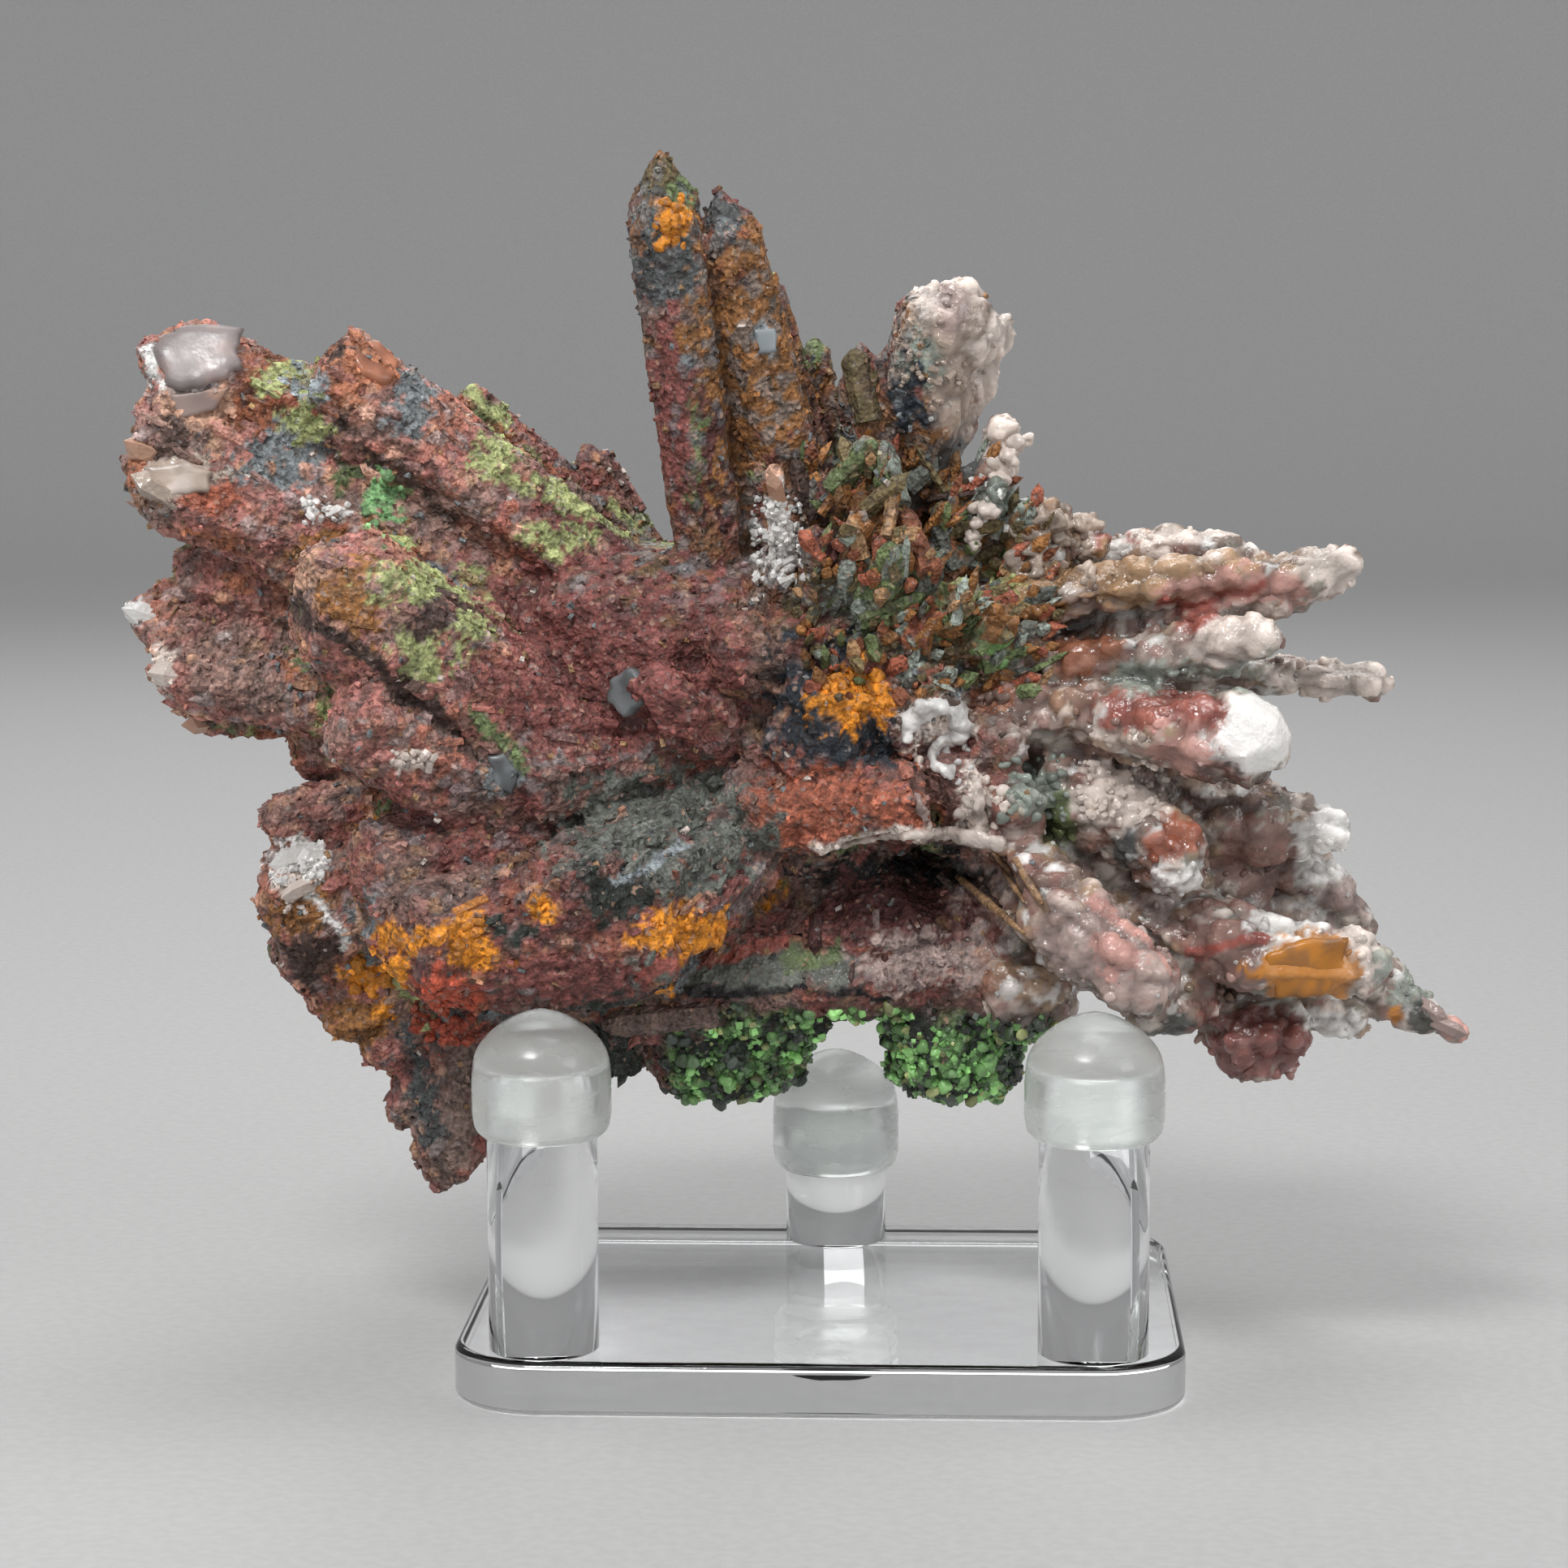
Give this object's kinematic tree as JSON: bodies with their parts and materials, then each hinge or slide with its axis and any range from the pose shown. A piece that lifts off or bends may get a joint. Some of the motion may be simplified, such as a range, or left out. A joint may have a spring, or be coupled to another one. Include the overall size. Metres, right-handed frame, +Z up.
{
  "type": "mineral specimen on stand",
  "caption": "Radiating quartz cluster of crusted flat-faced prisms and pale round-ended fingers, resting on a clear stand with soft-capped pegs.",
  "frame": {"origin": "centre of the stand plate's flat underside", "axes": "+X to the right across the front, along the cluster's longest extent; +Y to the back; +Z up"},
  "size_m": [0.1199, 0.0562, 0.1076],
  "materials": {
    "stone": "rough iron-stained crust, with pale glossy chalcedony on one side",
    "acrylic": "clear, polished",
    "silicone": "translucent, soft sheen"
  },
  "bodies": {
    "root": {"cluster": "stone", "stand_plate": "acrylic", "front_left_rod": "acrylic", "front_left_cap": "silicone", "front_right_rod": "acrylic", "front_right_cap": "silicone", "rear_rod": "acrylic", "rear_cap": "silicone"}
  },
  "joints": []
}
